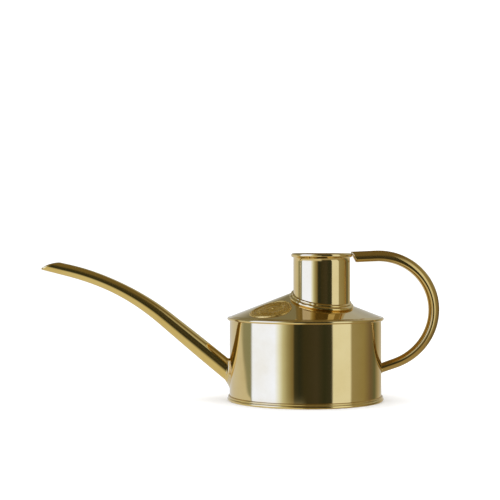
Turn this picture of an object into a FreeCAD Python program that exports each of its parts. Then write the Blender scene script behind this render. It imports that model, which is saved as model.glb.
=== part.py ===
import FreeCAD, Part
import math
import os

import Sketcher

# Small long-spout indoor watering can in polished sheet brass.
# Millimetres, +Z up. Origin: centre of the foot ring, on the surface that the can stands on.
# The spout points along -X, the handle is on the +X side and the badge faces -Y.

os.makedirs("parts", exist_ok=True)
doc = FreeCAD.newDocument("watering_can")

# ------------------------------------------------------------------ driving sizes

SIZES = [
    ("sheet", 0.6, "thickness of the brass sheet"),
    ("wall_radius", 54.0, "outside of the round wall"),
    ("wall_bottom", 0.9, "lower edge of the wall inside the foot fold"),
    ("wall_top", 58.6, "upper edge of the wall inside the shoulder fold"),
    ("fold_radius", 1.75, "half height of the folded seams at foot and shoulder"),
    ("foot_inner", 52.6, "inner edge of the foot ring"),
    ("base_lift", 1.6, "height of the base sheet above the table"),
    ("seam_height", 58.2, "middle of the folded shoulder seam"),
    ("apex_height", 80.2, "where the cone's sides would meet"),
    ("cone_slope", 0.386, "fall of the shoulder cone for each unit outward"),
    ("neck_x", 10.8, "neck axis, towards the handle"),
    ("neck_y", 15.4, "neck axis, towards the badge side"),
    ("neck_radius", 19.9, "outside of the neck tube"),
    ("rim_height", 103.0, "middle of the rolled rim"),
    ("roll_radius", 1.6, "outside of the rolled rim's section"),
    ("collar_radius", 22.4, "outside of the collar at the neck's foot"),
    ("collar_height", 5.2, "height of the collar above the cone"),
    ("spout_height", 20.2, "spout axis where it meets the wall"),
    ("spout_slope", 39.4, "first angle of the spout"),
    ("spout_run", 46.0, "level length of the spout's first straight"),
    ("spout_bend", 171.0, "radius of the spout's bend"),
    ("spout_end_slope", 13.0, "last angle of the spout"),
    ("spout_end_run", 20.0, "length of the spout's last straight"),
    ("spout_root_radius", 6.8, "outside of the spout at the wall"),
    ("spout_mid_radius", 5.8, "outside of the spout where the bend starts"),
    ("spout_tip_radius", 3.95, "outside of the spout at its tip"),
    ("tip_reach", 187.3, "lowest point of the spout's tip, from the can's axis"),
    ("tip_height", 92.4, "height of that point"),
    ("tip_slope", 22.9, "angle of the oblique cut through that point"),
    ("tip_twist", 25.0, "how far the cut turns away from the badge side"),
    ("port_radius", 5.4, "hole in the wall behind the spout"),
    ("flare_spread", 3.0, "how much wider than the spout its flare is at the wall"),
    ("flare_length", 14.0, "length of the flare, from inside the wall"),
    ("grip_radius", 4.0, "outside of the handle tube"),
    ("grip_wall", 0.7, "wall of the handle tube"),
    ("grip_height", 22.6, "handle axis where it meets the wall"),
    ("grip_slope", 20.0, "angle of the handle's lower straight"),
    ("grip_lower_bend", 40.4, "radius of the handle's lower bend"),
    ("grip_upper_bend", 39.85, "radius of the handle's upper bend"),
    ("grip_lower_run", 10.5, "length of the handle's lower straight"),
    ("grip_top_run", 20.5, "length of the handle's nearly level top"),
    ("grip_top_slope", 2.6, "fall of the handle's top towards the neck"),
    ("grip_end_slant", 2.9, "how far the handle's slanted end leans each way from the rim"),
    ("plug_depth", 1.4, "thickness of the solder that closes the handle's end"),
    ("badge_turn", 228.6, "direction of the badge about the can's axis"),
    ("badge_distance", 37.4, "centre of the badge from the can's axis"),
    ("badge_length", 28.5, "badge along the cone's slope"),
    ("badge_width", 30.5, "badge across the slope"),
    ("badge_thickness", 1.1, "thickness of the badge"),
    ("badge_bead", 0.7, "width of the solder round the badge"),
    ("solder", 1.2, "size of the solder fillets inside"),
]

sheet = doc.addObject("Spreadsheet::Sheet", "Sizes")
for row, (alias, value, meaning) in enumerate(SIZES, start=1):
    sheet.set(f"A{row}", alias)
    sheet.set(f"B{row}", str(value))
    sheet.set(f"C{row}", meaning)
    sheet.setAlias(f"B{row}", alias)
doc.recompute()


class Dim:
    """A number with the sheet expression that it comes from."""

    def __init__(self, value, text):
        self.value = value
        self.text = text

    def join(self, other, sign, value):
        return Dim(value, f"({self.text} {sign} {text_of(other)})")

    def __add__(self, other):
        return self.join(other, "+", self.value + value_of(other))

    def __sub__(self, other):
        return self.join(other, "-", self.value - value_of(other))

    def __mul__(self, other):
        return self.join(other, "*", self.value * value_of(other))

    def __truediv__(self, other):
        return self.join(other, "/", self.value / value_of(other))

    def __neg__(self):
        return Dim(-self.value, f"(0 - {self.text})")


def value_of(number):
    return number.value if isinstance(number, Dim) else float(number)


def text_of(number):
    return number.text if isinstance(number, Dim) else str(float(number))


def size(alias):
    return Dim(float(sheet.get(alias)), f"Sizes.{alias}")


def bind(thing, **properties):
    """Tie each named property to its sheet expression."""
    for name, number in properties.items():
        thing.setExpression(name, text_of(number))


def put(thing, position=(0, 0, 0), axis=(0, 0, 1), angle=0):
    """Place an object, its position and angle tied to the sheet."""
    start = FreeCAD.Vector(*[value_of(number) for number in position])
    turn = FreeCAD.Rotation(FreeCAD.Vector(*axis), value_of(angle))
    thing.Placement = FreeCAD.Placement(start, turn)
    for letter, number in zip("xyz", position):
        if isinstance(number, Dim):
            thing.setExpression(f"Placement.Base.{letter}", number.text)
    if isinstance(angle, Dim):
        thing.setExpression("Placement.Rotation.Angle", f"{angle.text} * 1 deg")


def add(kind, name, **properties):
    thing = doc.addObject(kind, name)
    bind(thing, **properties)
    return thing


def cylinder(name, radius, height, **place):
    thing = add("Part::Cylinder", name, Radius=radius, Height=height)
    put(thing, **place)
    return thing


def cut(name, base, tool):
    thing = doc.addObject("Part::Cut", name)
    thing.Base = base
    thing.Tool = tool
    return thing


def fuse(name, *pieces):
    thing = doc.addObject("Part::MultiFuse", name)
    thing.Shapes = list(pieces)
    return thing


def common(name, *pieces):
    thing = doc.addObject("Part::MultiCommon", name)
    thing.Shapes = list(pieces)
    return thing


def draw(drawing, spots):
    """A closed outline of straight edges, each corner held at its two distances."""
    count = len(spots)
    points = [FreeCAD.Vector(value_of(a), value_of(b), 0) for a, b in spots]
    for index in range(count):
        drawing.addGeometry(Part.LineSegment(points[index], points[(index + 1) % count]), False)
    for index, spot in enumerate(spots):
        drawing.addConstraint(Sketcher.Constraint("Coincident", index - 1 if index else count - 1,
                                                  2, index, 1))
        for kind, axis, number in zip(("DistanceX", "DistanceY"), (-2, -1), spot):
            if value_of(number) == 0:
                drawing.addConstraint(Sketcher.Constraint("PointOnObject", index, 1, axis))
                continue
            held = drawing.addConstraint(
                Sketcher.Constraint(kind, -1, 1, index, 1, value_of(number)))
            if isinstance(number, Dim):
                drawing.setExpression(f"Constraints[{held}]", number.text)


def revolve(name, spots):
    """A round piece: its half section turned about the can's own axis."""
    body = doc.addObject("PartDesign::Body", name)
    drawing = body.newObject("Sketcher::SketchObject", f"{name}_section")
    front = next(item for item in body.Origin.OriginFeatures if item.Role == "XZ_Plane")
    drawing.AttachmentSupport = [(front, "")]
    drawing.MapMode = "FlatFace"
    draw(drawing, spots)
    doc.recompute()
    turn = body.newObject("PartDesign::Revolution", f"{name}_turn")
    turn.Profile = drawing
    turn.ReferenceAxis = (drawing, ["V_Axis"])
    turn.Angle = 360
    return body


def path(name, *edges):
    """A line of straight and round edges for a tube to follow."""
    thing = doc.addObject("Part::Feature", name)
    thing.Shape = Part.Wire(list(edges))
    return thing


def sweep(name, spine, *rings):
    """A solid that runs along a path through the given circles."""
    thing = doc.addObject("Part::Sweep", name)
    thing.Sections = list(rings)
    thing.Spine = (spine, [f"Edge{number + 1}" for number in range(len(spine.Shape.Edges))])
    thing.Solid = True
    thing.Frenet = False
    return thing


KEPT = []


def keep(label, thing):
    """Give a finished sub-part the name that its file has."""
    thing.Label = label
    KEPT.append(thing)
    return thing


# ------------------------------------------------------------------ shared sizes and shapes

gauge = size("sheet")
outside = size("wall_radius")
inside = outside - gauge
wall_bottom = size("wall_bottom")
wall_top = size("wall_top")
fold = size("fold_radius")
apex = size("apex_height")
slope = size("cone_slope")
solder = size("solder")
under_cone = gauge * 1.08          # the cone's sheet measured straight down
neck_outside = size("neck_radius")
neck_inside = neck_outside - gauge
neck_place = {"position": (size("neck_x"), -size("neck_y"), 0)}
TALL = 130.0                       # taller than the can, for tools that cut right through
NECK_START = 60.0                  # below the cone at every point of the neck
BLOCK = 40.0                       # side of the block that trims the spout's tip
PORT_TOOL = 12.0                   # length of the tool that cuts the spout's port
PORT_RISE = 1.0                    # the slanting spout meets the wall higher at its far side
NECK_BELOW = 1.0                   # the neck's foot shows this much under the cone
ROLL_SIDE = 0.4                    # half a side of the eight-sided roll, over its radius
SPOUT_BACK = 4.0                   # the spout's line starts this far inside the wall
FLARE_THIN = 0.1                   # the flare's thin end lies this deep in the spout
FLARE_BACK = 1.0                   # the flare starts this far back towards the axis
GRIP_BACK = 3.0                    # the handle's line starts this far inside the wall
ROLL_ROOM = 1.1                    # the handle's end clears the roll by a tenth of its radius
PAD_LENGTH = 3.0                   # the solder round the handle's foot, with the part
PAD_BACK = 2.0                     # of it that the wall cuts away
BADGE_TOOL = 8.0                   # reach of the oval tool above and below the cone
STRIP = {"Length": 0.5, "Width": 5.0, "Height": 50.0}      # solder behind the wall's lap
STRIP_GAP = 0.1                    # keeps the flat strip clear of the round wall
STRIP_LIFT = 2.0                   # above the base sheet
SIDEWAYS = (0, 1, 0)


def cone_solid(name, lift):
    """Everything under the shoulder's surface, raised by lift."""
    top = apex + lift
    thing = add("Part::Cone", name, Radius1=top / slope, Radius2=0, Height=top)
    return thing


def neck_cylinder(name, radius):
    return cylinder(name, radius, TALL, **neck_place)


def wall_ring(name):
    """The space that the wall's sheet fills."""
    outer = cylinder(f"{name}_outer", outside, wall_top - wall_bottom,
                     position=(0, 0, wall_bottom))
    inner = cylinder(f"{name}_inner", inside, TALL)
    return cut(name, outer, inner)


def fold_bead(name, middle):
    """A folded seam's round edge, about the edge of the wall."""
    bead = add("Part::Torus", name, Radius1=outside, Radius2=fold)
    put(bead, position=(0, 0, middle))
    return bead


# ------------------------------------------------------------------ wall, base and shoulder

def make_wall():
    """One rolled sheet with the spout's port cut through it."""
    sleeve = revolve("sleeve", [
        (inside, wall_bottom), (outside, wall_bottom), (outside, wall_top), (inside, wall_top)])
    port = cylinder("port", size("port_radius"), PORT_TOOL, axis=SIDEWAYS, angle=90,
                    position=(-outside - PORT_TOOL / 2, 0, size("spout_height") + PORT_RISE))
    return keep("body_wall", cut("wall", sleeve, port))


def make_base():
    """The base sheet, raised inside the foot, with its edge folded round the wall."""
    foot = size("foot_inner")
    lift = size("base_lift")
    dish = revolve("dish", [
        (0, lift), (foot - 1, lift), (foot, 0), (inside, 0), (inside, lift + gauge),
        (0, lift + gauge)])
    folded = fuse("base_folded", dish, fold_bead("foot_bead", fold))
    return keep("base_disc", cut("base", folded, wall_ring("wall_in_base")))


def make_shoulder():
    """The cone, its edge folded round the wall's top, with the neck's hole cut in it."""
    shell = revolve("cone_shell", [
        (0, apex), (outside, apex - slope * outside),
        (outside, apex - slope * outside - under_cone), (0, apex - under_cone)])
    folded = fuse("shoulder_folded", shell, fold_bead("shoulder_bead", size("seam_height")))
    holed = cut("shoulder_holed", folded, neck_cylinder("neck_hole", neck_outside))
    return keep("shoulder_cone", cut("shoulder", holed, wall_ring("wall_in_shoulder")))


# ------------------------------------------------------------------ neck

def make_neck():
    """The neck tube, standing through the cone, with its top edge rolled over a wire."""
    rim = size("rim_height")
    roll = size("roll_radius")
    wide = neck_outside + roll
    flat = roll * ROLL_SIDE
    sleeve = revolve("neck_sleeve", [
        (neck_inside, NECK_START), (neck_outside, NECK_START), (neck_outside, rim - roll),
        (neck_outside + flat, rim - roll), (wide, rim - flat), (wide, rim + flat),
        (neck_outside + flat, rim + roll), (neck_outside - flat, rim + roll),
        (neck_outside - roll, rim + flat), (neck_outside - roll, rim - flat),
        (neck_inside, rim - roll)])
    put(sleeve, **neck_place)
    wire_rings = []
    for name in ("wire_room", "wire_ring"):
        ring = add("Part::Torus", name, Radius1=neck_outside, Radius2=roll - gauge)
        put(ring, position=(size("neck_x"), -size("neck_y"), rim))
        wire_rings.append(ring)
    rolled = cut("neck_rolled", sleeve, wire_rings[0])
    keep("neck_tube", cut("neck", rolled, cone_solid("cone_below_neck", -under_cone - NECK_BELOW)))
    keep("rim_wire", wire_rings[1])


def neck_ring(name, inner, outer, low, high):
    """A ring about the neck between two copies of the cone's surface."""
    band = cut(f"{name}_band", cone_solid(f"{name}_top", high), cone_solid(f"{name}_under", low))
    ring = cut(f"{name}_round", neck_cylinder(f"{name}_outer", outer),
               neck_cylinder(f"{name}_inner", inner))
    return common(name, band, ring)


def make_neck_rings():
    keep("neck_collar", neck_ring("collar", neck_outside, size("collar_radius"), 0,
                                  size("collar_height")))
    keep("neck_joint_solder", neck_ring("neck_solder", neck_outside, neck_outside + solder,
                                        -under_cone - 1, -under_cone))


# ------------------------------------------------------------------ spout

def spout_spots():
    """The spout's line in the can's own plane: wall, bend start, bend end and tip."""
    first = math.radians(size("spout_slope").value)
    last = math.radians(size("spout_end_slope").value)
    bend = size("spout_bend").value
    run = size("spout_run").value
    start = FreeCAD.Vector(-outside.value + SPOUT_BACK, 0,
                           size("spout_height").value - SPOUT_BACK * math.tan(first))
    bend_start = FreeCAD.Vector(-outside.value - run, 0,
                                size("spout_height").value + run * math.tan(first))
    middle = (first + last) / 2
    centre = bend_start + FreeCAD.Vector(-bend * math.sin(first), 0, -bend * math.cos(first))
    bend_middle = centre + FreeCAD.Vector(bend * math.sin(middle), 0, bend * math.cos(middle))
    bend_end = centre + FreeCAD.Vector(bend * math.sin(last), 0, bend * math.cos(last))
    reach = size("spout_end_run").value
    tip = bend_end + FreeCAD.Vector(-reach * math.cos(last), 0, reach * math.sin(last))
    return start, bend_start, bend_middle, bend_end, tip


def spout_solid(name, thinner):
    """The tapered rod that the spout's outside or bore fills."""
    start, bend_start, bend_middle, bend_end, tip = spout_spots()
    first = size("spout_slope").value
    last = size("spout_end_slope").value
    spine = path(f"{name}_path", Part.LineSegment(start, bend_start).toShape(),
                 Part.Arc(bend_start, bend_middle, bend_end).toShape(),
                 Part.LineSegment(bend_end, tip).toShape())
    rings = []
    stations = [("root", start, first, size("spout_root_radius")),
                ("mid", bend_start, first, size("spout_mid_radius")),
                ("tip", tip, last, size("spout_tip_radius"))]
    for part, spot, angle, radius in stations:
        ring = add("Part::Circle", f"{name}_{part}", Radius=radius - thinner)
        put(ring, position=tuple(spot), axis=SIDEWAYS, angle=angle - 90)
        rings.append(ring)
    return sweep(name, spine, *rings)


def make_spout():
    """A tapered tube cut to the round wall at one end and obliquely at the other."""
    tube = cut("spout_hollow", spout_solid("spout_rod", 0), spout_solid("spout_bore", gauge))
    rooted = cut("spout_rooted", tube, cylinder("can_space", outside, TALL))
    trim = add("Part::Box", "tip_trim", Length=BLOCK, Width=BLOCK, Height=BLOCK)
    stand = FreeCAD.Rotation(FreeCAD.Vector(*SIDEWAYS), -size("tip_slope").value) \
        * FreeCAD.Rotation(FreeCAD.Vector(1, 0, 0), -size("tip_twist").value)
    low_point = FreeCAD.Vector(-size("tip_reach").value, 0, size("tip_height").value)
    half = FreeCAD.Vector(BLOCK / 2, BLOCK / 2, 0)
    trim.Placement = FreeCAD.Placement(low_point - stand.multVec(half), stand)
    keep("spout_tube", cut("spout", rooted, trim))
    flare = cut("flare_hollow", flare_rod(), spout_solid("flare_room", 0))
    keep("spout_flare", cut("flare", flare, cylinder("can_in_flare", outside, TALL)))


def flare_rod():
    """The soldered flare that spreads from the spout to the wall."""
    start, bend_start = spout_spots()[:2]
    along = (bend_start - start).normalize()
    root = size("spout_root_radius")
    rod = add("Part::Cone", "flare_rod", Radius1=root + size("flare_spread"),
              Radius2=root - FLARE_THIN, Height=size("flare_length"))
    put(rod, position=tuple(start - along * FLARE_BACK), axis=SIDEWAYS,
        angle=size("spout_slope") - 90)
    return rod


# ------------------------------------------------------------------ handle

def handle_lean():
    """How far the handle's plane leans over from the wall to the neck."""
    rise = size("rim_height").value - size("grip_height").value
    return math.degrees(math.atan2(size("neck_y").value, rise))


def handle_path(name):
    """The handle's line from inside the wall, round the loop, to the neck's rim."""
    low = math.radians(size("grip_slope").value)
    top = math.radians(size("grip_top_slope").value)
    lower = size("grip_lower_bend").value
    upper = size("grip_upper_bend").value
    run = size("grip_lower_run").value
    wall_point = FreeCAD.Vector(outside.value, 0, 0)
    start = wall_point + FreeCAD.Vector(-GRIP_BACK, 0, -GRIP_BACK * math.tan(low))
    low_end = wall_point + FreeCAD.Vector(run * math.cos(low), 0, run * math.sin(low))
    lower_centre = low_end + FreeCAD.Vector(-lower * math.sin(low), 0, lower * math.cos(low))
    half = (low - math.pi / 2) / 2
    lower_middle = lower_centre + FreeCAD.Vector(lower * math.cos(half), 0,
                                                 lower * math.sin(half))
    outermost = lower_centre + FreeCAD.Vector(lower, 0, 0)
    upper_centre = outermost - FreeCAD.Vector(upper, 0, 0)
    end_angle = math.pi / 2 + top
    upper_middle = upper_centre + FreeCAD.Vector(upper * math.cos(end_angle / 2), 0,
                                                 upper * math.sin(end_angle / 2))
    upper_end = upper_centre + FreeCAD.Vector(upper * math.cos(end_angle), 0,
                                              upper * math.sin(end_angle))
    reach = size("grip_top_run").value
    finish = upper_end + FreeCAD.Vector(-reach * math.cos(top), 0, -reach * math.sin(top))
    spine = path(name, Part.LineSegment(start, low_end).toShape(),
                 Part.Arc(low_end, lower_middle, outermost).toShape(),
                 Part.Arc(outermost, upper_middle, upper_end).toShape(),
                 Part.LineSegment(upper_end, finish).toShape())
    return spine, start, finish


def handle_rod(name, radius):
    spine, start, _ = handle_path(f"{name}_path")
    ring = add("Part::Circle", f"{name}_ring", Radius=radius)
    put(ring, position=tuple(start), axis=SIDEWAYS, angle=Dim(90, "90") - size("grip_slope"))
    rod = sweep(name, spine, ring)
    put(rod, position=(0, 0, size("grip_height")), axis=(1, 0, 0), angle=handle_lean())
    return rod


def end_cone(name, larger):
    """The leaning surface against the neck's rim that the handle's end is cut to."""
    slant = size("grip_end_slant")
    middle = neck_outside + size("roll_radius") + larger
    cone = add("Part::Cone", name, Height=slant * 4, Radius1=middle + slant,
               Radius2=middle - slant)
    put(cone, position=(size("neck_x"), -size("neck_y"), size("rim_height") - slant * 2))
    return cone


def make_handle():
    """A bent tube, cut to the round wall below and slantwise against the rim above."""
    grip = size("grip_radius")
    bore = grip - size("grip_wall")
    bore_rod = handle_rod("grip_bore", bore)
    tube = cut("grip_hollow", handle_rod("grip_rod", grip), bore_rod)
    rooted = cut("grip_rooted", tube, cylinder("can_in_grip", outside, wall_top))
    rim_room = end_cone("rim_room", 0)
    slanted = cut("grip_slanted", rooted, rim_room)
    roll_room = add("Part::Torus", "roll_room", Radius1=neck_outside,
                    Radius2=size("roll_radius") * ROLL_ROOM)
    put(roll_room, position=(size("neck_x"), -size("neck_y"), size("rim_height")))
    keep("handle_tube", cut("grip", slanted, roll_room))
    plug = cut("plug_slanted", common("plug_rod", bore_rod, end_cone("plug_end",
                                                                     size("plug_depth"))),
               rim_room)
    keep("handle_head_solder", cut("plug", plug, roll_room))
    foot = cylinder("foot_pad_outer", grip + solder, PAD_LENGTH, axis=SIDEWAYS, angle=90,
                    position=(outside - PAD_BACK, 0, size("grip_height")))
    foot_ring = cut("foot_pad_ring", foot, handle_rod("grip_in_pad", grip))
    keep("handle_foot_solder", cut("foot_pad", foot_ring, cylinder("can_in_pad", outside, TALL)))


# ------------------------------------------------------------------ badge and solder

def make_badge():
    """An oval pressed plate, bent to the cone and soldered on, with a bead of solder round it."""
    turn = size("badge_turn")
    distance = size("badge_distance")
    lean = math.degrees(math.atan(slope.value))
    direction = math.radians(turn.value)
    surface = apex.value - slope.value * distance.value
    centre = FreeCAD.Vector(distance.value * math.cos(direction),
                            distance.value * math.sin(direction), surface)
    stand = FreeCAD.Rotation(FreeCAD.Vector(0, 0, 1), turn.value) \
        * FreeCAD.Rotation(FreeCAD.Vector(0, 1, 0), lean)
    below = stand.multVec(FreeCAD.Vector(0, 0, -BADGE_TOOL))
    plates = []
    for name, larger in (("badge", 0.0), ("badge_edge", size("badge_bead"))):
        oval = add("Part::Ellipse", f"{name}_oval",
                   MajorRadius=size("badge_width") / 2 + larger,
                   MinorRadius=size("badge_length") / 2 + larger)
        put(oval, angle=90)
        prism = doc.addObject("Part::Extrusion", f"{name}_prism")
        prism.Base = oval
        prism.DirMode = "Normal"
        prism.LengthFwd = BADGE_TOOL * 2
        prism.Solid = True
        prism.Placement = FreeCAD.Placement(centre + below, stand)
        plates.append(prism)
    thickness = size("badge_thickness")
    band = cut("badge_band", cone_solid("badge_over", thickness), cone_solid("badge_under", 0))
    keep("badge_plate", common("badge_bent", band, plates[0]))
    low_band = cut("edge_band", cone_solid("edge_over", thickness / 2),
                   cone_solid("edge_under", 0))
    edge_ring = cut("edge_ring", plates[1], plates[0])
    keep("badge_solder", common("badge_edge_bent", low_band, edge_ring))


def make_inner_solder():
    """The solder that seals the sheets from inside."""
    floor = size("base_lift") + gauge
    keep("base_seam_solder", revolve("base_solder", [
        (inside - solder, floor), (inside, floor), (inside, floor + solder)]))
    under = apex - slope * inside - under_cone
    keep("shoulder_seam_solder", revolve("shoulder_solder", [
        (inside, under - solder * 2), (inside, under), (inside - solder, under)]))
    strip = add("Part::Box", "wall_solder", **STRIP)
    put(strip, position=(inside - STRIP["Length"] - STRIP_GAP, -STRIP["Width"] / 2,
                         floor + STRIP_LIFT))
    keep("wall_seam_solder", strip)


make_wall()
make_base()
make_shoulder()
make_neck()
make_neck_rings()
make_spout()
make_handle()
make_badge()
make_inner_solder()

# ------------------------------------------------------------------ check and write

doc.recompute()
problems = []
for thing in doc.Objects:
    if "Invalid" in thing.State or "Error" in thing.State:
        problems.append(f"{thing.Name}: {thing.State}")
for thing in KEPT:
    shape = thing.Shape
    if shape.isNull() or not shape.isValid() or not shape.Solids:
        problems.append(f"{thing.Label}: no valid solid")
if problems:
    raise RuntimeError("; ".join(problems))
for thing in KEPT:
    thing.Shape.exportStep(f"parts/{thing.Label}.step")
    box = thing.Shape.BoundBox
    print(f"{thing.Label:22s} solids {len(thing.Shape.Solids)} volume {thing.Shape.Volume:9.1f}"
          f"  x {box.XMin:.1f}..{box.XMax:.1f} y {box.YMin:.1f}..{box.YMax:.1f}"
          f" z {box.ZMin:.1f}..{box.ZMax:.1f}")
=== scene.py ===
import math

import bpy
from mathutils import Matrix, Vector, noise


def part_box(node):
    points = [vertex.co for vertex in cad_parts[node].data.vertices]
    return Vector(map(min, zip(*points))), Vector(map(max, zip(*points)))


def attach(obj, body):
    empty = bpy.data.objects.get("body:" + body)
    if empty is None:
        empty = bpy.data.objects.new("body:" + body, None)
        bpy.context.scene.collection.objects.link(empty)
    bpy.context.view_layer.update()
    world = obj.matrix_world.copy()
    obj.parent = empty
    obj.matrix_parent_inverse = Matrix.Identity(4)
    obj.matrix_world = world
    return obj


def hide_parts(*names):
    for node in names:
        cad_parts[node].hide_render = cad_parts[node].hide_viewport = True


# A polished brass indoor watering can with a long thin spout, standing on a pale studio floor.
# Metres, +Z up. The spout points along -X, the handle is on the +X side, the badge faces -Y.

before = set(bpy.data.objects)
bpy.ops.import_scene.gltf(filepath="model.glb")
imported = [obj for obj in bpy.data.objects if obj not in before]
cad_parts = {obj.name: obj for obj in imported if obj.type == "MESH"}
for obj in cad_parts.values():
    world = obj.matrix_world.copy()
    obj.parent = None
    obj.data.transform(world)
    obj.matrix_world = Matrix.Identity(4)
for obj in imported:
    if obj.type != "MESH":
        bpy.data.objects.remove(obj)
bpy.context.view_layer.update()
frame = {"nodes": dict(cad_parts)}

MM = 0.001
AROUND = 288          # points round the can and the neck
SHEET = 0.6 * MM      # thickness of the brass sheet
HAIR = 0.02 * MM      # the least gap or overlap between pieces that meet
INTO_WALL = 4.0 * MM  # the lines of the spout and the handle start this far inside the wall

# ------------------------------------------------------------------ sizes read from the frame

wall_low, wall_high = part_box("body_wall")
WALL_RADIUS = wall_high.x
WALL_TOP = wall_high.z
base_low, base_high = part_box("base_disc")
FOOT_RADIUS = base_high.x
neck_low, neck_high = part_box("neck_tube")
wire_low, wire_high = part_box("rim_wire")
NECK_CENTRE = (wire_low + wire_high) / 2
RIM_HEIGHT = NECK_CENTRE.z
NECK_RADIUS = 19.9 * MM
ROLL = neck_high.z - RIM_HEIGHT       # outside of the rolled rim's section
collar_low, collar_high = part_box("neck_collar")
COLLAR_RADIUS = (collar_high.x - collar_low.x) / 2
foot_pad_low, foot_pad_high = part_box("handle_foot_solder")

CONE_SLOPE = 0.386                    # fall of the shoulder for each unit outward
LIP_HEIGHT = WALL_TOP - 0.4 * MM      # middle of the folded seam at the shoulder
APEX = LIP_HEIGHT + 22.0 * MM         # where the cone's sides would meet


def cone_height(x, y):
    return APEX - CONE_SLOPE * math.hypot(x, y)


# ------------------------------------------------------------------ mesh tools

def make_mesh(name, rows, close_rows=True, caps=False):
    """A skin through rows of points, each row a closed ring with the same number of points."""
    across = len(rows[0])
    points = [tuple(point) for row in rows for point in row]
    faces = []
    last = len(rows) if close_rows else len(rows) - 1
    for row in range(last):
        here = row * across
        there = ((row + 1) % len(rows)) * across
        for step in range(across):
            after = (step + 1) % across
            faces.append((here + step, here + after, there + after, there + step))
    if caps:
        faces.append(tuple(reversed(range(across))))
        faces.append(tuple(range((len(rows) - 1) * across, len(rows) * across)))
    mesh = bpy.data.meshes.new(name)
    mesh.from_pydata(points, [], faces)
    mesh.validate()
    for face in mesh.polygons:
        face.use_smooth = True
    piece = bpy.data.objects.new(name, mesh)
    bpy.context.collection.objects.link(piece)
    face_outward(piece)
    return piece


def face_outward(piece):
    """Turn all faces outward by the sign of the enclosed volume."""
    mesh = piece.data
    volume = 0.0
    for face in mesh.polygons:
        corners = [mesh.vertices[index].co for index in face.vertices]
        for one, two in zip(corners[1:], corners[2:]):
            volume += corners[0].dot(one.cross(two))
    if volume < 0:
        mesh.flip_normals()


def arc(centre, radius, first, last, steps):
    """Points of a round stretch in a half section, angles in degrees."""
    points = []
    for step in range(steps + 1):
        angle = math.radians(first + (last - first) * step / steps)
        points.append((centre[0] + radius * math.cos(angle),
                       centre[1] + radius * math.sin(angle)))
    return points


def line(start, finish, steps):
    """Points from start up to, but not including, finish."""
    return [(start[0] + (finish[0] - start[0]) * step / steps,
             start[1] + (finish[1] - start[1]) * step / steps) for step in range(steps)]


def turned(name, section, shift=None):
    """A closed half section turned about the can's axis. shift(angle, height) adds to a radius."""
    rows = []
    for radius, height in section:
        row = []
        for step in range(AROUND):
            angle = 2 * math.pi * step / AROUND
            reach = radius + (shift(angle, height) if shift else 0)
            row.append((reach * math.cos(angle), reach * math.sin(angle), height))
        rows.append(row)
    return make_mesh(name, rows)


def finish_piece(piece, material, *nodes, slot="brass"):
    """Give a piece its material and body, and hide the nodes whose place it takes. The slot is not
    used.
    """
    piece.data.materials.append(material)
    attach(piece, "root")
    if nodes:
        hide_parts(*nodes)
    return piece


# ------------------------------------------------------------------ materials

def new_material(name, colour, roughness):
    material = bpy.data.materials.new(name)
    material.use_nodes = True
    shader = material.node_tree.nodes["Principled BSDF"]
    shader.inputs["Metallic"].default_value = 1.0
    shader.inputs["Base Color"].default_value = (*colour, 1)
    shader.inputs["Roughness"].default_value = roughness
    return material, shader


def add_node(tree, kind, **values):
    node = tree.nodes.new(kind)
    for name, value in values.items():
        if name in node.inputs:
            node.inputs[name].default_value = value
        else:
            setattr(node, name, value)
    return node


def brass(name, colour, dull_colour, shine, dull, wave=1.0, wave_size=26.0, grain=1.0):
    """Polished sheet brass: clouded tarnish, faint polishing lines and slightly wavy sheet."""
    material, shader = new_material(name, colour, shine)
    tree = material.node_tree
    link = tree.links.new
    place = add_node(tree, "ShaderNodeTexCoord")
    clouds = add_node(tree, "ShaderNodeTexNoise", Scale=38.0, Detail=5.0, Roughness=0.6)
    link(place.outputs["Object"], clouds.inputs["Vector"])
    cloud_range = add_node(tree, "ShaderNodeMapRange")
    cloud_range.inputs["From Min"].default_value = 0.38
    cloud_range.inputs["From Max"].default_value = 0.78
    link(clouds.outputs["Fac"], cloud_range.inputs["Value"])
    tint = add_node(tree, "ShaderNodeMix", data_type="RGBA")
    tint.inputs["A"].default_value = (*colour, 1)
    tint.inputs["B"].default_value = (*dull_colour, 1)
    link(cloud_range.outputs["Result"], tint.inputs["Factor"])
    link(tint.outputs["Result"], shader.inputs["Base Color"])
    stretch = add_node(tree, "ShaderNodeMapping")
    stretch.inputs["Scale"].default_value = (900, 900, 5200)
    link(place.outputs["Object"], stretch.inputs["Vector"])
    polish = add_node(tree, "ShaderNodeTexNoise", Scale=1.0, Detail=3.0, Roughness=0.7)
    link(stretch.outputs["Vector"], polish.inputs["Vector"])
    blend = add_node(tree, "ShaderNodeMath", operation="MULTIPLY")
    link(polish.outputs["Fac"], blend.inputs[0])
    link(cloud_range.outputs["Result"], blend.inputs[1])
    rough = add_node(tree, "ShaderNodeMapRange")
    rough.inputs["To Min"].default_value = shine
    rough.inputs["To Max"].default_value = dull
    link(blend.outputs["Value"], rough.inputs["Value"])
    link(rough.outputs["Result"], shader.inputs["Roughness"])
    waves = add_node(tree, "ShaderNodeTexNoise", Scale=wave_size, Detail=1.0, Roughness=0.4)
    link(place.outputs["Object"], waves.inputs["Vector"])
    wave_bump = add_node(tree, "ShaderNodeBump", Strength=1.0, Distance=0.00009 * wave)
    link(waves.outputs["Fac"], wave_bump.inputs["Height"])
    grain_bump = add_node(tree, "ShaderNodeBump", Strength=0.35 * grain, Distance=0.0000015)
    link(polish.outputs["Fac"], grain_bump.inputs["Height"])
    link(wave_bump.outputs["Normal"], grain_bump.inputs["Normal"])
    link(grain_bump.outputs["Normal"], shader.inputs["Normal"])
    return material


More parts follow.
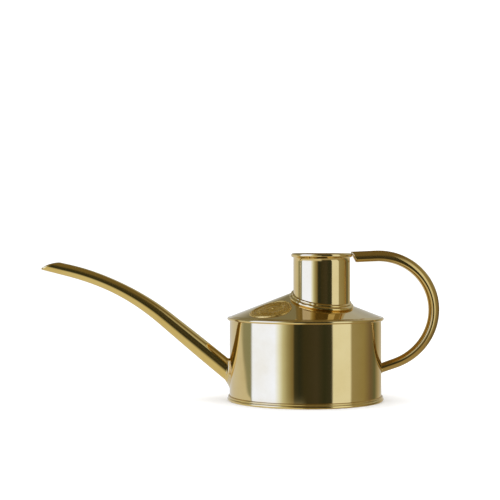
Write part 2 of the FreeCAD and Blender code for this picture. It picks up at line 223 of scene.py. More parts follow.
def badge_brass():
    """Pressed brass, with painted shade in the hollows and a painted highlight on the raised parts.
    """
    material, shader = new_material("badge_brass", (0.7, 0.46, 0.14), 0.25)
    tree = material.node_tree
    link = tree.links.new
    shape = add_node(tree, "ShaderNodeNewGeometry")
    # Painted shade and highlight: by the mesh's pointiness, the hollows are painted dark and the
    # raised parts bright.
    painted_relief_light = add_node(tree, "ShaderNodeValToRGB")
    painted_relief_light.color_ramp.elements[0].position = 0.42
    painted_relief_light.color_ramp.elements[0].color = (0.20, 0.09, 0.01, 1)
    painted_relief_light.color_ramp.elements[1].position = 0.56
    painted_relief_light.color_ramp.elements[1].color = (1.0, 0.74, 0.26, 1)
    middle = painted_relief_light.color_ramp.elements.new(0.50)
    middle.color = (0.93, 0.59, 0.11, 1)
    link(shape.outputs["Pointiness"], painted_relief_light.inputs["Fac"])
    place = add_node(tree, "ShaderNodeTexCoord")
    specks = add_node(tree, "ShaderNodeTexNoise", Scale=900.0, Detail=4.0, Roughness=0.65)
    link(place.outputs["Object"], specks.inputs["Vector"])
    speck_range = add_node(tree, "ShaderNodeMapRange")
    speck_range.inputs["From Min"].default_value = 0.35
    speck_range.inputs["From Max"].default_value = 0.65
    speck_range.inputs["To Min"].default_value = 0.55
    speck_range.inputs["To Max"].default_value = 1.15
    link(specks.outputs["Fac"], speck_range.inputs["Value"])
    tint = add_node(tree, "ShaderNodeVectorMath", operation="SCALE")
    link(painted_relief_light.outputs["Color"], tint.inputs[0])
    link(speck_range.outputs["Result"], tint.inputs["Scale"])
    link(tint.outputs["Vector"], shader.inputs["Base Color"])
    rough = add_node(tree, "ShaderNodeMapRange")
    rough.inputs["To Min"].default_value = 0.2
    rough.inputs["To Max"].default_value = 0.55
    link(specks.outputs["Fac"], rough.inputs["Value"])
    link(rough.outputs["Result"], shader.inputs["Roughness"])
    bump = add_node(tree, "ShaderNodeBump", Strength=0.7, Distance=0.00008)
    link(specks.outputs["Fac"], bump.inputs["Height"])
    link(bump.outputs["Normal"], shader.inputs["Normal"])
    return material


def soft_solder():
    """Dull grey solder with a lumpy, slightly frosted skin."""
    material, shader = new_material("soft_solder", (0.62, 0.62, 0.60), 0.38)
    tree = material.node_tree
    place = add_node(tree, "ShaderNodeTexCoord")
    lumps = add_node(tree, "ShaderNodeTexNoise", Scale=320.0, Detail=4.0, Roughness=0.6)
    tree.links.new(place.outputs["Object"], lumps.inputs["Vector"])
    colours = add_node(tree, "ShaderNodeValToRGB")
    colours.color_ramp.elements[0].color = (0.40, 0.40, 0.38, 1)
    colours.color_ramp.elements[1].color = (0.78, 0.78, 0.75, 1)
    tree.links.new(lumps.outputs["Fac"], colours.inputs["Fac"])
    tree.links.new(colours.outputs["Color"], shader.inputs["Base Color"])
    bump = add_node(tree, "ShaderNodeBump", Strength=0.6, Distance=0.0002)
    tree.links.new(lumps.outputs["Fac"], bump.inputs["Height"])
    tree.links.new(bump.outputs["Normal"], shader.inputs["Normal"])
    return material


SHEET_BRASS = brass("sheet_brass", (0.80, 0.60, 0.25), (0.75, 0.54, 0.205), 0.035, 0.16)
SPOUT_BRASS = brass("spout_brass", (0.80, 0.58, 0.20), (0.74, 0.51, 0.15), 0.06, 0.2,
                    wave=0.5, wave_size=60.0)
HANDLE_BRASS = brass("handle_brass", (0.72, 0.51, 0.18), (0.60, 0.39, 0.11), 0.07, 0.24,
                     wave=0.5, wave_size=60.0)
SEAM_BRASS = brass("seam_brass", (0.80, 0.59, 0.22), (0.68, 0.46, 0.14), 0.06, 0.25,
                   wave=1.2, wave_size=150.0, grain=2.0)
BADGE_BRASS = badge_brass()
SOLDER = soft_solder()


# ------------------------------------------------------------------ wall and base

LAP_TURN = 8                          # degrees from the handle to the lap's edge
LAP_STEP = 0.22 * MM                  # height of that edge
LAP_FADE = 0.12                       # radians over which the step dies away
DRAWN_IN = 0.28 * MM                  # how far the seams pull the wall's edges in
DRAWN_FADE = 2.2 * MM                 # height over which that dies away


def wall_shape(angle, height):
    """The lapped edge under the handle, and the sheet drawn in a little at both seams."""
    turn = math.remainder(angle - math.radians(LAP_TURN), 2 * math.pi)
    lap = LAP_STEP * math.exp(-turn / LAP_FADE) if turn > 0 else 0.0
    from_edge = min(height - wall_low.z, WALL_TOP - height)
    return lap - DRAWN_IN * math.exp(-from_edge / DRAWN_FADE)


def build_wall():
    inside = WALL_RADIUS - SHEET
    bottom = wall_low.z
    section = line((WALL_RADIUS, bottom), (WALL_RADIUS, WALL_TOP), 90)
    section += line((WALL_RADIUS, WALL_TOP), (inside, WALL_TOP), 2)
    section += line((inside, WALL_TOP), (inside, bottom), 90)
    section += line((inside, bottom), (WALL_RADIUS, bottom), 2)
    finish_piece(turned("wall", section, shift=wall_shape), SHEET_BRASS, "body_wall")


def build_base():
    """The raised base sheet and the foot ring with its two rolled ridges."""
    inside = WALL_RADIUS - SHEET
    low = 1.55 * MM
    dish = 40.0 * MM
    ridge = 1.2 * MM
    upper_ridge = 0.55 * MM
    section = [(HAIR, low), (dish, low), (inside - 2.6 * MM, low)]
    section += line((inside - 1.9 * MM, low - 0.2 * MM), (inside - 1.2 * MM, 0.0), 3)
    section += arc((FOOT_RADIUS - 1.4 * MM, ridge), ridge, -100, 62, 18)
    section += arc((FOOT_RADIUS - 1.2 * MM, 2.95 * MM), upper_ridge, -42, 165, 14)
    section += [(WALL_RADIUS + HAIR, 2.3 * MM), (WALL_RADIUS - 0.5 * MM, 2.1 * MM),
                (inside - 0.3 * MM, 2.4 * MM), (dish, low + SHEET), (HAIR, low + SHEET)]
    finish_piece(turned("base", section), SEAM_BRASS, "base_disc")


# ------------------------------------------------------------------ shoulder

def build_shoulder():
    """The cone from the neck's hole to the lip that folds over the wall."""
    cone_edge = WALL_RADIUS - 1.15 * MM
    edge_height = cone_height(cone_edge, 0)
    bead = 1.3 * MM
    lip_section = [(cone_edge, edge_height),
                   (cone_edge + 0.12 * MM, edge_height - 0.06 * MM),
                   (cone_edge + 0.22 * MM, edge_height - 0.45 * MM)]
    lip_section += arc((WALL_RADIUS + 0.4 * MM, LIP_HEIGHT - 0.2 * MM), bead, 122, -118, 30)
    lip_section += [(WALL_RADIUS + HAIR, LIP_HEIGHT - 0.6 * MM),
                    (WALL_RADIUS - 0.5 * MM, LIP_HEIGHT - 0.2 * MM),
                    (cone_edge, edge_height - SHEET)]
    spans = 26
    rows = [[] for _ in range(2 * spans + len(lip_section))]
    hole = NECK_RADIUS + HAIR
    for step in range(AROUND):
        angle = 2 * math.pi * step / AROUND
        way = (math.cos(angle), math.sin(angle))
        inner = (NECK_CENTRE.x + hole * way[0], NECK_CENTRE.y + hole * way[1])
        middle = inner[0] * way[0] + inner[1] * way[1]
        gap = inner[0] ** 2 + inner[1] ** 2 - cone_edge ** 2
        reach = -middle + math.sqrt(middle ** 2 - gap)
        outer = (inner[0] + reach * way[0], inner[1] + reach * way[1])
        around = math.atan2(outer[1], outer[0])
        column = []
        for span in range(spans):
            share = span / spans
            x = inner[0] + (outer[0] - inner[0]) * share
            y = inner[1] + (outer[1] - inner[1]) * share
            column.append((x, y, cone_height(x, y)))
        for radius, height in lip_section:
            column.append((radius * math.cos(around), radius * math.sin(around), height))
        for x, y, height in reversed(column[:spans]):
            column.append((x, y, height - SHEET))
        for index, point in enumerate(column):
            rows[index].append(point)
    finish_piece(make_mesh("shoulder", rows), SHEET_BRASS, "shoulder_cone")


# ------------------------------------------------------------------ neck

def neck_rows(section):
    """Rings about the neck; each section point is (radius, height, share of the cone's height)."""
    rows = []
    for radius, height, follow in section:
        row = []
        for step in range(AROUND):
            angle = 2 * math.pi * step / AROUND
            x = NECK_CENTRE.x + radius * math.cos(angle)
            y = NECK_CENTRE.y + radius * math.sin(angle)
            z = height + follow * cone_height(x, y)
            row.append((x, y, z))
        rows.append(row)
    return rows


def build_neck():
    """The tube with its rim rolled outward over a wire."""
    inside = NECK_RADIUS - SHEET
    below = -1.6 * MM
    top = RIM_HEIGHT - ROLL
    inner_top = top - 0.3 * MM
    steps = 13
    section = []
    for step in range(steps + 1):
        share = step / steps
        section.append((NECK_RADIUS, below * (1 - share) + top * share, 1 - share))
    section += [(radius, height, 0) for radius, height in
                arc((NECK_RADIUS, RIM_HEIGHT), ROLL, -75, 200, 36)]
    for step in range(steps + 1):
        share = 1 - step / steps
        section.append((inside, below * (1 - share) + inner_top * share, 1 - share))
    finish_piece(make_mesh("neck", neck_rows(section)), SHEET_BRASS, "neck_tube")


def build_collar():
    """The soldered collar that spreads from the neck onto the cone."""
    tall = 3.8 * MM
    overlap = 0.2 * MM
    upper_bead = 0.75 * MM
    lower_bead = 1.05 * MM
    profile = [(NECK_RADIUS - overlap, tall), (NECK_RADIUS + 0.1 * MM, tall)]
    profile += arc((NECK_RADIUS + 0.3 * MM, 3.0 * MM), upper_bead, 80, -35, 12)
    profile += arc((COLLAR_RADIUS - lower_bead, 1.35 * MM), lower_bead, 95, -70, 18)
    profile += [(COLLAR_RADIUS - 0.9 * MM, -overlap), (NECK_RADIUS - overlap, -overlap)]
    section = [(radius, height, 1) for radius, height in profile]
    rows = [[uneven(point) for point in row] for row in neck_rows(section)]
    finish_piece(make_mesh("collar", rows), SEAM_BRASS, "neck_collar")


EVEN_SIDE = 0.06 * MM                 # how far the collar's surface wanders at the handle
ROUGH_SIDE = 0.34 * MM                # and how much further towards the spout
LUMP_SIZE = 2.4 * MM
LUMP_MARGIN = 0.6 * MM                # no wandering against the neck, all of it this far out


def uneven(point):
    """Hand-laid solder wanders a little, most of all on the spout's side of the neck."""
    spot = Vector(point)
    away = Vector((spot.x - NECK_CENTRE.x, spot.y - NECK_CENTRE.y, 0))
    clear = min(max((away.length - NECK_RADIUS) / LUMP_MARGIN, 0.0), 1.0)
    side = min(max(-away.x / NECK_RADIUS, 0.0), 1.0)
    push = clear * (EVEN_SIDE + ROUGH_SIDE * side) * noise.noise(spot / LUMP_SIZE)
    return tuple(spot + away.normalized() * push + Vector((0, 0, 0.6 * push)))


# ------------------------------------------------------------------ tubes

def tube_frames(spots):
    """Each point of a tube that stays in one plane, with its two cross-directions."""
    frames = []
    side = None
    for index, spot in enumerate(spots):
        before = spots[max(index - 1, 0)]
        after = spots[min(index + 1, len(spots) - 1)]
        along = (after - before).normalized()
        if side is None:
            flat = (spots[-1] - spots[0]).cross(spots[len(spots) // 2] - spots[0])
            side = flat.normalized()
        frames.append((spot, side, along.cross(side).normalized()))
    return frames


def tube_rows(frames, radii):
    """Round rings across a tube."""
    around = 72
    rows = []
    for (spot, side, up), radius in zip(frames, radii):
        row = []
        for step in range(around):
            angle = 2 * math.pi * step / around
            row.append(spot + side * (radius * math.cos(angle))
                       + up * (radius * math.sin(angle)))
        rows.append(row)
    return rows


def bend_points(start, way, turn_axis, radius, degrees, steps):
    """Points round a bend that starts at a point in a direction."""
    inward = turn_axis.cross(way).normalized()
    centre = start + inward * radius
    points = []
    for step in range(1, steps + 1):
        angle = math.radians(degrees) * step / steps
        arm = start - centre
        points.append(centre + arm * math.cos(angle) + turn_axis.cross(arm) * math.sin(angle))
    return points


# ------------------------------------------------------------------ spout

SPOUT_HEIGHT = 20.2 * MM              # of its line where it leaves the wall
SPOUT_SLOPE = 39.4                    # degrees, from the wall to the bend
SPOUT_RUN = 46.0 * MM                 # from the wall to the bend, measured level
SPOUT_BEND = 171.0 * MM               # radius of the bend
SPOUT_END_SLOPE = 13.0                # degrees, beyond the bend
SPOUT_END_RUN = 20.0 * MM
# Share of the spout's length and its outer radius there, in millimetres.
SPOUT_TAPER = [(0.0, 6.7), (0.18, 6.5), (0.39, 5.75), (0.64, 4.62), (0.82, 4.4), (1.0, 3.95)]
SPOUT_ROOT = SPOUT_TAPER[0][1] * MM
TIP_REACH = 187.3 * MM                # the tip's lowest point, out from the axis
TIP_HEIGHT = 92.4 * MM
TIP_SLOPE = 22.9                      # degrees, of the oblique cut
TIP_TWIST = 25.0                      # degrees that the cut turns away from the badge's side


def spout_line():
    """Points of the spout's centre line, from inside the wall to beyond the tip."""
    slope = math.radians(SPOUT_SLOPE)
    way = Vector((-math.cos(slope), 0, math.sin(slope)))
    wall_point = Vector((-WALL_RADIUS, 0, SPOUT_HEIGHT))
    start = wall_point - way * (INTO_WALL / math.cos(slope))
    bend_start = wall_point + way * (SPOUT_RUN / math.cos(slope))
    points = [start + (bend_start - start) * (step / 24) for step in range(25)]
    points += bend_points(bend_start, way, Vector((0, -1, 0)), SPOUT_BEND,
                          SPOUT_SLOPE - SPOUT_END_SLOPE, 30)
    last = (points[-1] - points[-2]).normalized()
    end = points[-1]
    points += [end + last * (SPOUT_END_RUN * step / 12) for step in range(1, 13)]
    return points


def spout_radii(points):
    """The spout's taper: slow at the wall and the tip, quicker between them."""
    travelled = [0.0]
    for before, after in zip(points, points[1:]):
        travelled.append(travelled[-1] + (after - before).length)
    return [along_taper(distance / travelled[-1]) * MM for distance in travelled]


def along_taper(share):
    """The taper's stations joined by a smooth curve."""
    last = len(SPOUT_TAPER) - 2
    part = min(max(index for index in range(last + 1) if SPOUT_TAPER[index][0] <= share), last)
    (start, first), (end, second) = SPOUT_TAPER[part], SPOUT_TAPER[part + 1]
    way = (share - start) / (end - start)
    steps = [(high[1] - low[1]) / (high[0] - low[0])
             for low, high in zip(SPOUT_TAPER, SPOUT_TAPER[1:])]
    fall_in = (steps[max(part - 1, 0)] + steps[part]) / 2 * (end - start)
    fall_out = (steps[part] + steps[min(part + 1, last)]) / 2 * (end - start)
    return ((1 + 2 * way) * (1 - way) ** 2 * first + way * (1 - way) ** 2 * fall_in
            + way ** 2 * (3 - 2 * way) * second + way ** 2 * (way - 1) * fall_out)


def slice_end(rows, corner, normal):
    """Draw the ends of a tube's rows back along the tube to an oblique plane."""
    for step in range(len(rows[0])):
        column = [row[step] for row in rows]
        cut = None
        for index in range(1, len(column)):
            before = (column[index - 1] - corner).dot(normal)
            after = (column[index] - corner).dot(normal)
            if before <= 0 < after:
                cut = (index, before / (before - after))
                break
        if cut is None:
            continue
        index, share = cut
        edge = column[index - 1].lerp(column[index], share)
        for later in range(index, len(column)):
            rows[later][step] = edge.copy()


def hollow_tube(name, outer, inner):
    """A closed tube wall from rows of outer and inner rings."""
    return make_mesh(name, outer + list(reversed(inner)))


def respace(rows):
    """Spread each line of points along the tube evenly towards its own end."""
    count = len(rows)
    for step in range(len(rows[0])):
        column = [row[step].copy() for row in rows]
        lengths = [0.0]
        for before, after in zip(column, column[1:]):
            lengths.append(lengths[-1] + (after - before).length)
        total = lengths[-1]
        spot = 0
        for index in range(count):
            target = total * index / (count - 1)
            while spot < count - 2 and lengths[spot + 1] < target:
                spot += 1
            gap = lengths[spot + 1] - lengths[spot]
            share = 0 if gap < 1e-12 else (target - lengths[spot]) / gap
            rows[index][step] = column[spot].lerp(column[spot + 1], min(max(share, 0), 1))


def build_spout():
    points = spout_line()
    frames = tube_frames(points)
    radii = spout_radii(points)
    outer = tube_rows(frames, radii)
    inner = tube_rows(frames, [radius - SHEET for radius in radii])
    lean = math.radians(TIP_SLOPE)
    twist = math.radians(TIP_TWIST)
    normal = Vector((-math.sin(lean) * math.cos(twist), math.sin(twist),
                     math.cos(lean) * math.cos(twist)))
    corner = Vector((-TIP_REACH, 0, TIP_HEIGHT))
    for rows in (outer, inner):
        slice_end(rows, corner, normal)
        respace(rows)
    finish_piece(hollow_tube("spout", outer, inner), SPOUT_BRASS, "spout_tube")


def spread_joint(name, centre, along, radius, run, spread, material, *nodes, slot="brass"):
    """A smooth soldered fillet from a tube to the round wall, larger underneath than on top.

    run and spread are pairs: the fillet's length along the tube and along the wall, above and
    below.
    """
    side = Vector((0, 1, 0))
    up = along.cross(side).normalized()
    around = 120
    rings = 18
    straight = 0.35
    buried = 0.4 * MM
    rows = [[] for _ in range(rings + 3)]
    for step in range(around):
        angle = 2 * math.pi * step / around
        ray = side * math.cos(angle) + up * math.sin(angle)
        lower = (0.5 - 0.5 * ray.z) ** 1.6
        foot = on_wall(centre + ray * radius, along)
        push = ray - along * ray.dot(along)
        outward = foot + push * (spread[0] + (spread[1] - spread[0]) * lower)
        outward = on_wall_level(outward)
        top = foot + along * (run[0] + (run[1] - run[0]) * lower)
        column = []
        for ring in range(rings + 1):
            share = ring / rings
            curved = (top * (1 - share) ** 2 + foot * (2 * share * (1 - share))
                      + outward * share ** 2)
            column.append(curved.lerp(top.lerp(outward, share), straight))
        column.append(outward - normal_at(outward) * buried)
        column.append(top - ray * buried)
        for index, point in enumerate(column):
            rows[index].append(point)
    return finish_piece(make_mesh(name, rows), material, *nodes, slot=slot)


def normal_at(point):
    """The direction from the can's axis to a point."""
    return Vector((point.x, point.y, 0)).normalized()


def on_wall(point, along):
    """Where a line through a point meets the wall's surface."""
    a = along.x ** 2 + along.y ** 2
    b = 2 * (point.x * along.x + point.y * along.y)
    c = point.x ** 2 + point.y ** 2 - WALL_RADIUS ** 2
    reach = (-b + math.sqrt(max(b * b - 4 * a * c, 0))) / (2 * a)
    return point + along * reach


def on_wall_level(point):
    """A point moved level to just under the wall's surface."""
    flat = normal_at(point) * (WALL_RADIUS - HAIR)
    return Vector((flat.x, flat.y, point.z))


def build_spout_joint():
    slope = math.radians(SPOUT_SLOPE)
    along = Vector((-math.cos(slope), 0, math.sin(slope)))
    centre = Vector((-WALL_RADIUS, 0, SPOUT_HEIGHT))
    spread_joint("spout_joint", centre, along, SPOUT_ROOT - 0.1 * MM, (2.6 * MM, 6.0 * MM),
                 (0.8 * MM, 5.8 * MM), SHEET_BRASS, "spout_flare")


# ------------------------------------------------------------------ handle

GRIP = 3.9 * MM                       # half the tube's width across the loop's plane
GRIP_WALL = 0.7 * MM
GRIP_SLOPE = 20.0                     # degrees, where it leaves the wall
GRIP_LOWER = 40.4 * MM                # radii of the loop's two bends
GRIP_UPPER = 39.85 * MM
GRIP_LOWER_RUN = 10.5 * MM
GRIP_TOP_RUN = 20.5 * MM
GRIP_TOP_SLOPE = 2.6                  # degrees, falling towards the neck
GRIP_DEPTH = 1.03                     # depth of the section over its width
GRIP_FULLNESS = 0.30                  # how far the deepest part lies towards the fingers
GRIP_FLATTENING = 1.4                 # above 1 the flanks are flatter than an ellipse's
GRIP_FOOT = 0.88                      # the tube narrows to this share of its size at the wall
GRIP_FOOT_POINTS = 30                 # points of its line over which it narrows
GRIP_END = Vector((-0.9, 0, -0.43))   # the way its slanting end faces
GRIP_HEIGHT = (foot_pad_low.z + foot_pad_high.z) / 2


def handle_line():
    """Points of the handle's centre line, in its own plane leaning to the neck."""
    slope = math.radians(GRIP_SLOPE)
    way = Vector((math.cos(slope), 0, math.sin(slope)))
    out = Vector((0, -1, 0))
    start = Vector((WALL_RADIUS, 0, 0))
    points = [start + way * (GRIP_LOWER_RUN * step / 8 - INTO_WALL * (1 - step / 8))
              for step in range(9)]
    points += bend_points(points[-1], way, out, GRIP_LOWER, 90 - GRIP_SLOPE, 32)
    upright = Vector((0, 0, 1))
    points += bend_points(points[-1], upright, out, GRIP_UPPER, 90 + GRIP_TOP_SLOPE, 36)
    top = math.radians(GRIP_TOP_SLOPE)
    end = points[-1]
    points += [end + Vector((-math.cos(top), 0, -math.sin(top))) * (GRIP_TOP_RUN * step / 10)
               for step in range(1, 11)]
    lean = math.atan2(-NECK_CENTRE.y, RIM_HEIGHT - GRIP_HEIGHT)
    placed = []
    for point in points:
        placed.append(Vector((point.x, -point.z * math.sin(lean),
                              GRIP_HEIGHT + point.z * math.cos(lean))))
    return placed


def grip_rows(frames, radii):
    """Rings of the handle's section: fuller towards the fingers than on the outside of the loop."""
    middle = sum((frame[0] for frame in frames), Vector()) / len(frames)
    around = 96
    rows = []
    for (spot, side, up), radius in zip(frames, radii):
        outward = up if up.dot(spot - middle) > 0 else -up
        row = []
        for step in range(around):
            angle = 2 * math.pi * step / around
            out = math.sin(angle)
            flank = math.copysign(abs(math.cos(angle)) ** GRIP_FLATTENING, math.cos(angle))
            wide = GRIP_DEPTH * flank * (1 - GRIP_FULLNESS * out)
            row.append(spot + outward * (radius * out) + side * (radius * wide))
        rows.append(row)
    return rows


def build_handle():
    points = handle_line()
    frames = tube_frames(points)
    radii = [GRIP * (GRIP_FOOT + (1 - GRIP_FOOT) * min(index / GRIP_FOOT_POINTS, 1.0))
             for index in range(len(points))]
    outer = grip_rows(frames, radii)
    inner = grip_rows(frames, [radius - GRIP_WALL for radius in radii])
    corner = Vector((NECK_CENTRE.x + NECK_RADIUS + ROLL + 0.1 * MM, 0, RIM_HEIGHT))
    for rows in (outer, inner):
        slice_end(rows, corner, GRIP_END)
        respace(rows)
    finish_piece(hollow_tube("handle", outer, inner), HANDLE_BRASS, "handle_tube")
    along = (points[8] - points[0]).normalized()
    centre = Vector((WALL_RADIUS, 0, GRIP_HEIGHT))
    spread_joint("handle_joint", centre, along, GRIP_FOOT * GRIP, (0.6 * MM, 1.2 * MM),
                 (0.5 * MM, 1.0 * MM), SEAM_BRASS, "handle_foot_solder", slot="brass_solder")
    build_plug(inner)


# Share of the handle's bore and the depth from its end in millimetres, face first.
PLUG_SECTION = [(0.05, 0.45), (0.3, 0.4), (0.6, 0.3), (0.85, 0.12), (1.01, 0.0), (1.01, 1.5),
                (0.05, 1.5)]


def build_plug(bore):
    """The solder that closes the handle's end, slightly sunk between the tube's edges."""
    end = bore[-1]
    middle = sum(end, Vector()) / len(end)
    inward = (sum(bore[-6], Vector()) / len(end) - middle).normalized()
    rows = []
    for share, depth in PLUG_SECTION:
        rows.append([middle + (point - middle) * share + inward * depth * MM for point in end])
    piece = make_mesh("handle_plug", rows, close_rows=False, caps=True)
    finish_piece(piece, SEAM_BRASS, "handle_head_solder", slot="brass_solder")


# ------------------------------------------------------------------ badge

BADGE_TURN = 228.6                    # degrees about the can from the handle
BADGE_DISTANCE = 37.4 * MM            # of its middle from the can's axis
BADGE_LENGTH = 28.5 * MM              # down the slope
BADGE_WIDTH = 30.5 * MM               # across the slope
# Where the ornament's rings lie, as shares of the badge's radius.
EDGE_START = 0.9
BEADS = (0.78, 0.88)
LEAVES = (0.40, 0.76)
ROSETTE_END = 0.38
BOSS_END = 0.12


def relief(share, angle):
    """Height of the badge's pressed ornament in millimetres, over its face."""
    if share > EDGE_START:
        rise = (share - EDGE_START) / (1 - EDGE_START)
        return 0.35 + 0.55 * math.sin(math.pi * min(0.15 + rise * 0.9, 1.0)) ** 0.7
    height = 0.25
    height += 0.34 * hump(share, *BEADS) * (0.35 + 0.65 * math.cos(30 * angle) ** 2)
    leaf = math.cos(9 * angle + 9 * share) ** 2
    vein = abs(math.sin(18 * angle + 26 * share))
    height += hump(share, *LEAVES) * (0.55 * leaf + 0.2 * vein)
    petals = math.cos(4 * angle) ** 2
    height += 0.6 * dome(share, ROSETTE_END) * (0.35 + 0.65 * petals)
    height += 0.22 * dome(share, BOSS_END)
    spot = Vector((math.cos(angle) * share, math.sin(angle) * share, 0.31))
    return height + 0.10 * noise.noise(spot * 16) + 0.07 * noise.noise(spot * 40)


def hump(share, first, last):
    """0 outside a ring of the badge, rising to 1 in its middle."""
    if not first < share < last:
        return 0.0
    return math.sin(math.pi * (share - first) / (last - first))


def dome(share, edge):
    """1 in the badge's middle, falling to 0 at an edge and beyond."""
    return max(1 - (share / edge) ** 2, 0.0)


def on_cone(slant, across, lift):
    """A point of the cone at a slant distance and a sideways distance, lifted off it."""
    tilt = math.atan(CONE_SLOPE)
    turn = math.radians(BADGE_TURN) + across / BADGE_DISTANCE
    distance = BADGE_DISTANCE + slant * math.cos(tilt)
    radius = distance + lift * math.sin(tilt)
    height = cone_height(distance, 0) + lift * math.cos(tilt)
    return (radius * math.cos(turn), radius * math.sin(turn), height)


def build_badge():
    """An oval plate with its ornament, closed underneath just inside the cone's sheet."""
    rings = 96
    around = 360
    underside = -0.1
    wider = 1.015
    stations = [(ring / rings, True) for ring in range(1, rings + 1)] + [(wider, False)]
    rows = []
    for share, raised in stations:
        row = []
        for step in range(around):
            angle = 2 * math.pi * step / around
            slant = BADGE_LENGTH / 2 * share * math.cos(angle)
            across = BADGE_WIDTH / 2 * share * math.sin(angle)
            lift = relief(share, angle) if raised else underside
            row.append(on_cone(slant, across, lift * MM))
        rows.append(row)
    piece = make_mesh("badge", rows, close_rows=False, caps=True)
    finish_piece(piece, BADGE_BRASS, "badge_plate", "badge_solder", slot="badge")


# ------------------------------------------------------------------ studio

def build_studio():
    """A white floor, a soft overhead light, and a world of panels for the brass to show."""
    bpy.ops.mesh.primitive_plane_add(size=30)
    floor = bpy.context.object
    floor.name = "floor"
    floor.visible_glossy = False
    paint, shader = new_material("floor_paint", (0.95, 0.95, 0.95), 0.9)
    shader.inputs["Metallic"].default_value = 0.0
    shader.inputs["Specular IOR Level"].default_value = 0.0
    floor.data.materials.append(paint)
    light = bpy.data.lights.new("overhead", "AREA")
    light.shape = "DISK"
    light.size = 2.4
    light.energy = 12
    lamp = bpy.data.objects.new("overhead", light)
    lamp.location = (-0.1, -0.2, 2.2)
    lamp.visible_glossy = False
    bpy.context.collection.objects.link(lamp)
    build_world()


# Upright bands of the studio, by direction about the can: 0 is the camera's side, + is right.
SOFTBOX = (1.12, 1.42, 2.75)
PANEL = (0.89, 0.95, 0.95)
BANDS = [
    (-180, (0.70, 0.70, 0.60)), (-118, (0.68, 0.68, 0.58)), (-108, (0.31, 0.33, 0.26)),
    (-92, (0.29, 0.33, 0.27)), (-88.5, SOFTBOX), (-49, SOFTBOX), (-42, (0.94, 1.12, 1.5)),
    (-36, (0.64, 0.69, 0.60)), (-29, (0.38, 0.375, 0.25)), (-22.5, (0.235, 0.20, 0.10)),
    (-20.5, (0.22, 0.18, 0.09)), (-19, (0.05, 0.05, 0.028)), (-11, (0.028, 0.032, 0.022)),
    (-4, (0.045, 0.042, 0.022)), (14, (0.058, 0.052, 0.034)), (26, (0.034, 0.038, 0.022)),
    (37.5, (0.05, 0.05, 0.035)), (39.5, PANEL), (68, PANEL), (71, (0.36, 0.33, 0.21)),
    (95, (0.32, 0.28, 0.14)), (112, (0.19, 0.145, 0.09)), (125, (0.14, 0.15, 0.08)),
    (142, (0.50, 0.43, 0.26)), (180, (0.70, 0.70, 0.60))]
BACKDROP_LEFT = (0.23, 0.22, 0.145)
BACKDROP_RIGHT = (0.47, 0.48, 0.43)
CEILING = (0.18, 0.14, 0.06)
LEFT_FLOOR = (0.72, 0.70, 0.56)
BROWN_FLOOR = (0.40, 0.34, 0.20)
SIDE_CARD = (0.69, 0.69, 0.62)
LIGHT_COLOUR = (1.0, 1.058, 1.32)
# Where each of them begins and is full, by a direction's part along X, Y or Z.
BEHIND = (0.05, 0.45)
BEHIND_RISE = (0.05, 0.45)
BEHIND_RIGHT = (-0.02, 0.16)
HAZE_RISE = (0.48, 0.90)
CEILING_RISE = (0.72, 0.86)
BROWN_FLOOR_RISE = (-0.50, -0.70)
LEFT_FLOOR_RISE = (-0.12, -0.50)
LEFT_FLOOR_SIDE = (0.0, -0.15)
# The side card's two edges, in radians about the can; the first leans by CARD_LEAN per unit up.
CARD_EDGE = (-2.38, -2.50)
CARD_NEAR_EDGE = (-1.59, -1.64)
CARD_LEAN = 6.1


def between(tree, value, first, last):
    """0 where the value is at first, 1 where it is at last."""
    node = add_node(tree, "ShaderNodeMapRange")
    node.inputs["From Min"].default_value = first
    node.inputs["From Max"].default_value = last
    tree.links.new(value, node.inputs["Value"])
    return node.outputs["Result"]


def mixed(tree, factor, under, colour):
    """The colour under, giving way to another as the factor rises."""
    node = add_node(tree, "ShaderNodeMix", data_type="RGBA")
    node.inputs["B"].default_value = (*colour, 1)
    tree.links.new(factor, node.inputs["Factor"])
    tree.links.new(under, node.inputs["A"])
    return node.outputs["Result"]


def product(tree, under, colour):
    """The colour under multiplied by another."""
    node = add_node(tree, "ShaderNodeMix", data_type="RGBA", blend_type="MULTIPLY")
    node.inputs["Factor"].default_value = 1.0
    node.inputs["B"].default_value = (*colour, 1)
    tree.links.new(under, node.inputs["A"])
    return node.outputs["Result"]


def both(tree, one, two):
    """1 only where both factors are 1."""
    node = add_node(tree, "ShaderNodeMath", operation="MULTIPLY")
    tree.links.new(one, node.inputs[0])
    tree.links.new(two, node.inputs[1])
    return node.outputs[0]


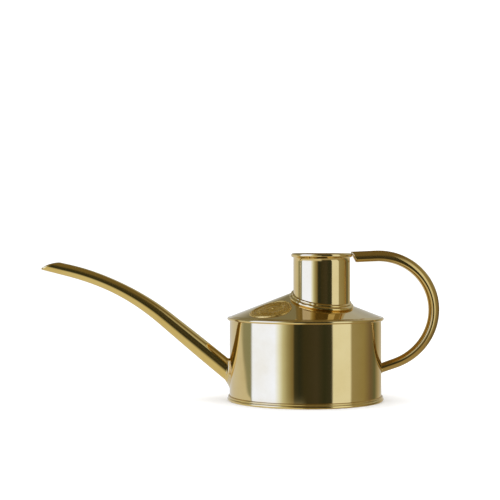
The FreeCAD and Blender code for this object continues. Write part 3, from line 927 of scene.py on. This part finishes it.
def build_world():
    """Brass reflects the studio's bands; everything else sees an even white surround."""
    world = bpy.data.worlds.new("studio")
    bpy.context.scene.world = world
    world.use_nodes = True
    tree = world.node_tree
    tree.nodes.clear()
    link = tree.links.new
    place = add_node(tree, "ShaderNodeTexCoord")
    parts = add_node(tree, "ShaderNodeSeparateXYZ")
    link(place.outputs["Generated"], parts.inputs[0])
    front = add_node(tree, "ShaderNodeMath", operation="MULTIPLY")
    front.inputs[1].default_value = -1
    link(parts.outputs["Y"], front.inputs[0])
    turn = add_node(tree, "ShaderNodeMath", operation="ARCTAN2")
    link(parts.outputs["X"], turn.inputs[0])
    link(front.outputs[0], turn.inputs[1])
    bands = add_node(tree, "ShaderNodeValToRGB")
    fill_ramp(bands.color_ramp, [((angle + 180) / 360, colour) for angle, colour in BANDS])
    link(between(tree, turn.outputs[0], -math.pi, math.pi), bands.inputs["Fac"])
    sideways, away, rise = (parts.outputs[name] for name in "XYZ")
    lean = add_node(tree, "ShaderNodeMath", operation="MULTIPLY_ADD")
    lean.inputs[1].default_value = CARD_LEAN
    link(rise, lean.inputs[0])
    link(turn.outputs[0], lean.inputs[2])
    card = both(tree, between(tree, lean.outputs[0], *CARD_EDGE),
                between(tree, turn.outputs[0], *CARD_NEAR_EDGE))
    behind = both(tree, between(tree, away, *BEHIND), between(tree, rise, *BEHIND_RISE))
    behind_right = both(tree, behind, between(tree, sideways, *BEHIND_RIGHT))
    left_floor = both(tree, between(tree, rise, *LEFT_FLOOR_RISE),
                      between(tree, sideways, *LEFT_FLOOR_SIDE))
    colour = mixed(tree, card, bands.outputs["Color"], SIDE_CARD)
    colour = mixed(tree, between(tree, rise, *HAZE_RISE), colour, CEILING)
    colour = mixed(tree, behind, colour, BACKDROP_LEFT)
    colour = mixed(tree, behind_right, colour, BACKDROP_RIGHT)
    colour = mixed(tree, between(tree, rise, *CEILING_RISE), colour, CEILING)
    colour = mixed(tree, between(tree, rise, *BROWN_FLOOR_RISE), colour, BROWN_FLOOR)
    colour = mixed(tree, left_floor, colour, LEFT_FLOOR)
    colour = product(tree, colour, LIGHT_COLOUR)
    shown = add_node(tree, "ShaderNodeBackground")
    link(colour, shown.inputs["Color"])
    backdrop = add_node(tree, "ShaderNodeBackground", Strength=1.25)
    backdrop.inputs["Color"].default_value = (1, 1, 1, 1)
    rays = add_node(tree, "ShaderNodeLightPath")
    mix = add_node(tree, "ShaderNodeMixShader")
    link(rays.outputs["Is Glossy Ray"], mix.inputs[0])
    link(backdrop.outputs[0], mix.inputs[1])
    link(shown.outputs[0], mix.inputs[2])
    out = add_node(tree, "ShaderNodeOutputWorld")
    link(mix.outputs[0], out.inputs["Surface"])


def fill_ramp(ramp, stops):
    """Put (position, colour) stops in a colour ramp in place of its own."""
    while len(ramp.elements) > 1:
        ramp.elements.remove(ramp.elements[0])
    ramp.elements[0].position = stops[0][0]
    ramp.elements[0].color = (*stops[0][1], 1)
    for position, colour in stops[1:]:
        ramp.elements.new(position).color = (*colour, 1)


CAMERA_PLACE = (-0.0394, -0.884, 0.106)
CAMERA_LENS = 89.3
CAMERA_SENSOR = 36
CAMERA_SHIFT = 0.002


def build_camera():
    """The main view: level with the neck's rim, square to the spout, from the badge's side."""
    camera = bpy.data.cameras.new("camera")
    camera.sensor_width = CAMERA_SENSOR
    camera.lens = CAMERA_LENS
    camera.shift_y = CAMERA_SHIFT
    holder = bpy.data.objects.new("camera", camera)
    holder.location = CAMERA_PLACE
    holder.rotation_euler = (math.pi / 2, 0, 0)
    bpy.context.collection.objects.link(holder)
    bpy.context.scene.camera = holder


build_camera()
build_wall()
build_base()
build_shoulder()
build_neck()
build_collar()
build_spout()
build_spout_joint()
build_handle()
build_badge()
for node, material in (("rim_wire", SEAM_BRASS), ("neck_joint_solder", SOLDER),
                       ("base_seam_solder", SOLDER), ("shoulder_seam_solder", SOLDER),
                       ("wall_seam_solder", SOLDER)):
    hidden = frame["nodes"][node]
    hidden.data.materials.clear()
    hidden.data.materials.append(material)
build_studio()
bpy.context.scene.view_settings.view_transform = "Standard"
